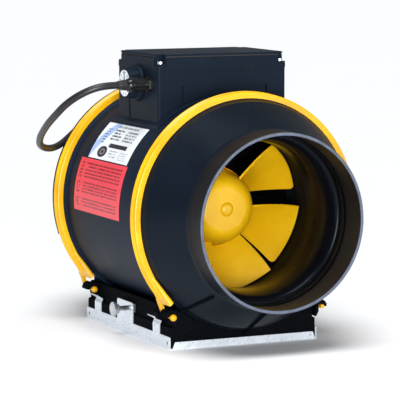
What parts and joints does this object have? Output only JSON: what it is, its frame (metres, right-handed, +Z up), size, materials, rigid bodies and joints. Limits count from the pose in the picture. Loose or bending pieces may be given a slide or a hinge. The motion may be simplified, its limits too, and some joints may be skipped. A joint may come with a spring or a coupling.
{
  "type": "inline duct fan",
  "caption": "Inline mixed-flow duct fan with conical spigots, strap-clamped shells, an impeller, a clip-on steel bracket, a terminal box with speed knob, and a mains cord.",
  "frame": {"origin": "bottom centre of the bounding box without the free cord: midway between the two spigot rims, on the fan's centre plane, at the underside of the steel bracket", "axes": "+Z up, +Y along the air flow from the inlet spigot to the outlet spigot, +X to the right seen from the inlet"},
  "size_m": [0.3232, 0.53, 0.3275],
  "materials": {
    "barrel_plastic": "satin black moulded plastic",
    "shell_plastic": "satin black moulded plastic with a cool sheen",
    "nozzle_plastic": "semi-gloss black moulded plastic",
    "cone_plastic": "semi-gloss black moulded plastic",
    "vane_plastic": "satin black moulded plastic",
    "cradle_plastic": "fine-grained black moulded plastic",
    "box_plastic": "fine-grained dark moulded plastic",
    "lid_plastic": "fine-grained dark moulded plastic",
    "gasket_foam": "closed-cell foam",
    "strap_rubber": "smooth yellow elastomer",
    "impeller_plastic": "golden yellow moulded plastic",
    "hub_cap_plastic": "golden yellow moulded plastic",
    "bracket_steel": "galvanised sheet steel",
    "screw_steel": "zinc-plated steel",
    "thumb_screw_plastic": "dark moulded head on a zinc-plated shank",
    "rotor_steel": "dark coated pressed steel",
    "magnet_steel": "cast cage",
    "bearing_steel": "ground steel",
    "lamination_steel": "stacked laminations",
    "winding_copper": "varnished copper",
    "flange_aluminium": "cast aluminium",
    "knob_plastic": "ribbed black plastic",
    "dial_plastic": "white printed dial plate",
    "switch_plastic": "dark moulded plastic",
    "gland_plastic": "black nylon",
    "terminal_plastic": "off-white nylon",
    "capacitor_plastic": "white cylindrical case",
    "grommet_rubber": "black rubber",
    "cord_jacket": "black cable jacket",
    "lead_jacket": "grey inner lead",
    "plug_rubber": "black moulded-on plug",
    "pin_brass": "bright brass blades",
    "label_white": null,
    "label_red": null
  },
  "bodies": {
    "housing": {"housing_barrel": "barrel_plastic", "front_shell": "shell_plastic", "rear_shell": "shell_plastic", "inlet_nozzle": "nozzle_plastic", "outlet_cone": "cone_plastic", "guide_vane_casing": "vane_plastic", "tail_fairing": "vane_plastic", "casing_screws": "screw_steel", "motor_flange": "flange_aluminium", "motor_screws": "screw_steel", "stator_core": "lamination_steel", "stator_winding": "winding_copper", "motor_lead": "lead_jacket", "bearing_front": "bearing_steel", "bearing_rear": "bearing_steel", "cradle": "cradle_plastic", "wall_bracket": "bracket_steel", "thumb_screw_nut": "screw_steel", "front_strap": "strap_rubber", "rear_strap": "strap_rubber", "box_base": "box_plastic", "box_gasket": "gasket_foam", "box_lid": "lid_plastic", "lid_screws": "screw_steel", "terminal_block": "terminal_plastic", "capacitor": "capacitor_plastic", "speed_switch": "switch_plastic", "gland_body": "gland_plastic", "gland_nut": "gland_plastic", "gland_locknut": "gland_plastic", "gland_boot": "grommet_rubber", "lead_grommet": "grommet_rubber", "supply_lead": "cord_jacket", "power_cord": "cord_jacket", "cord_coil": "cord_jacket", "plug_body": "plug_rubber", "plug_pins": "pin_brass", "rating_label": "label_white", "notice_label": "label_red"},
    "rotor": {"impeller": "impeller_plastic", "hub_cap": "hub_cap_plastic", "rotor_bell": "rotor_steel", "rotor_cage": "magnet_steel", "impeller_shaft": "bearing_steel"},
    "knob": {"speed_knob": "knob_plastic", "knob_dial": "dial_plastic", "knob_spindle": "switch_plastic"},
    "screw_washer": {"thumb_screw_washer": "screw_steel"},
    "screw": {"thumb_screw": "thumb_screw_plastic"}
  },
  "joints": [
    {"name": "impeller_spin", "type": "hinge", "parent": "housing", "child": "rotor", "pos_m": [0, 0, 0.149], "axis": [0, 1, 0], "continuous": true},
    {"name": "knob_turn", "type": "hinge", "parent": "housing", "child": "knob", "pos_m": [-0.09, 0, 0.2925], "axis": [-1, 0, 0], "range_deg": [-135, 135]},
    {"name": "screw_travel", "type": "slide", "parent": "housing", "child": "screw_washer", "axis": [-1, 0, 0], "range_m": [0, 0.004]},
    {"name": "screw_turn", "type": "hinge", "parent": "screw_washer", "child": "screw", "pos_m": [-0.115, -0.002, 0.0315], "axis": [-1, 0, 0], "range_deg": [0, 1440]}
  ],
  "couplings": [
    {"joint": "screw_turn", "follows": "screw_travel", "rad_per_m": 6283.2}
  ]
}
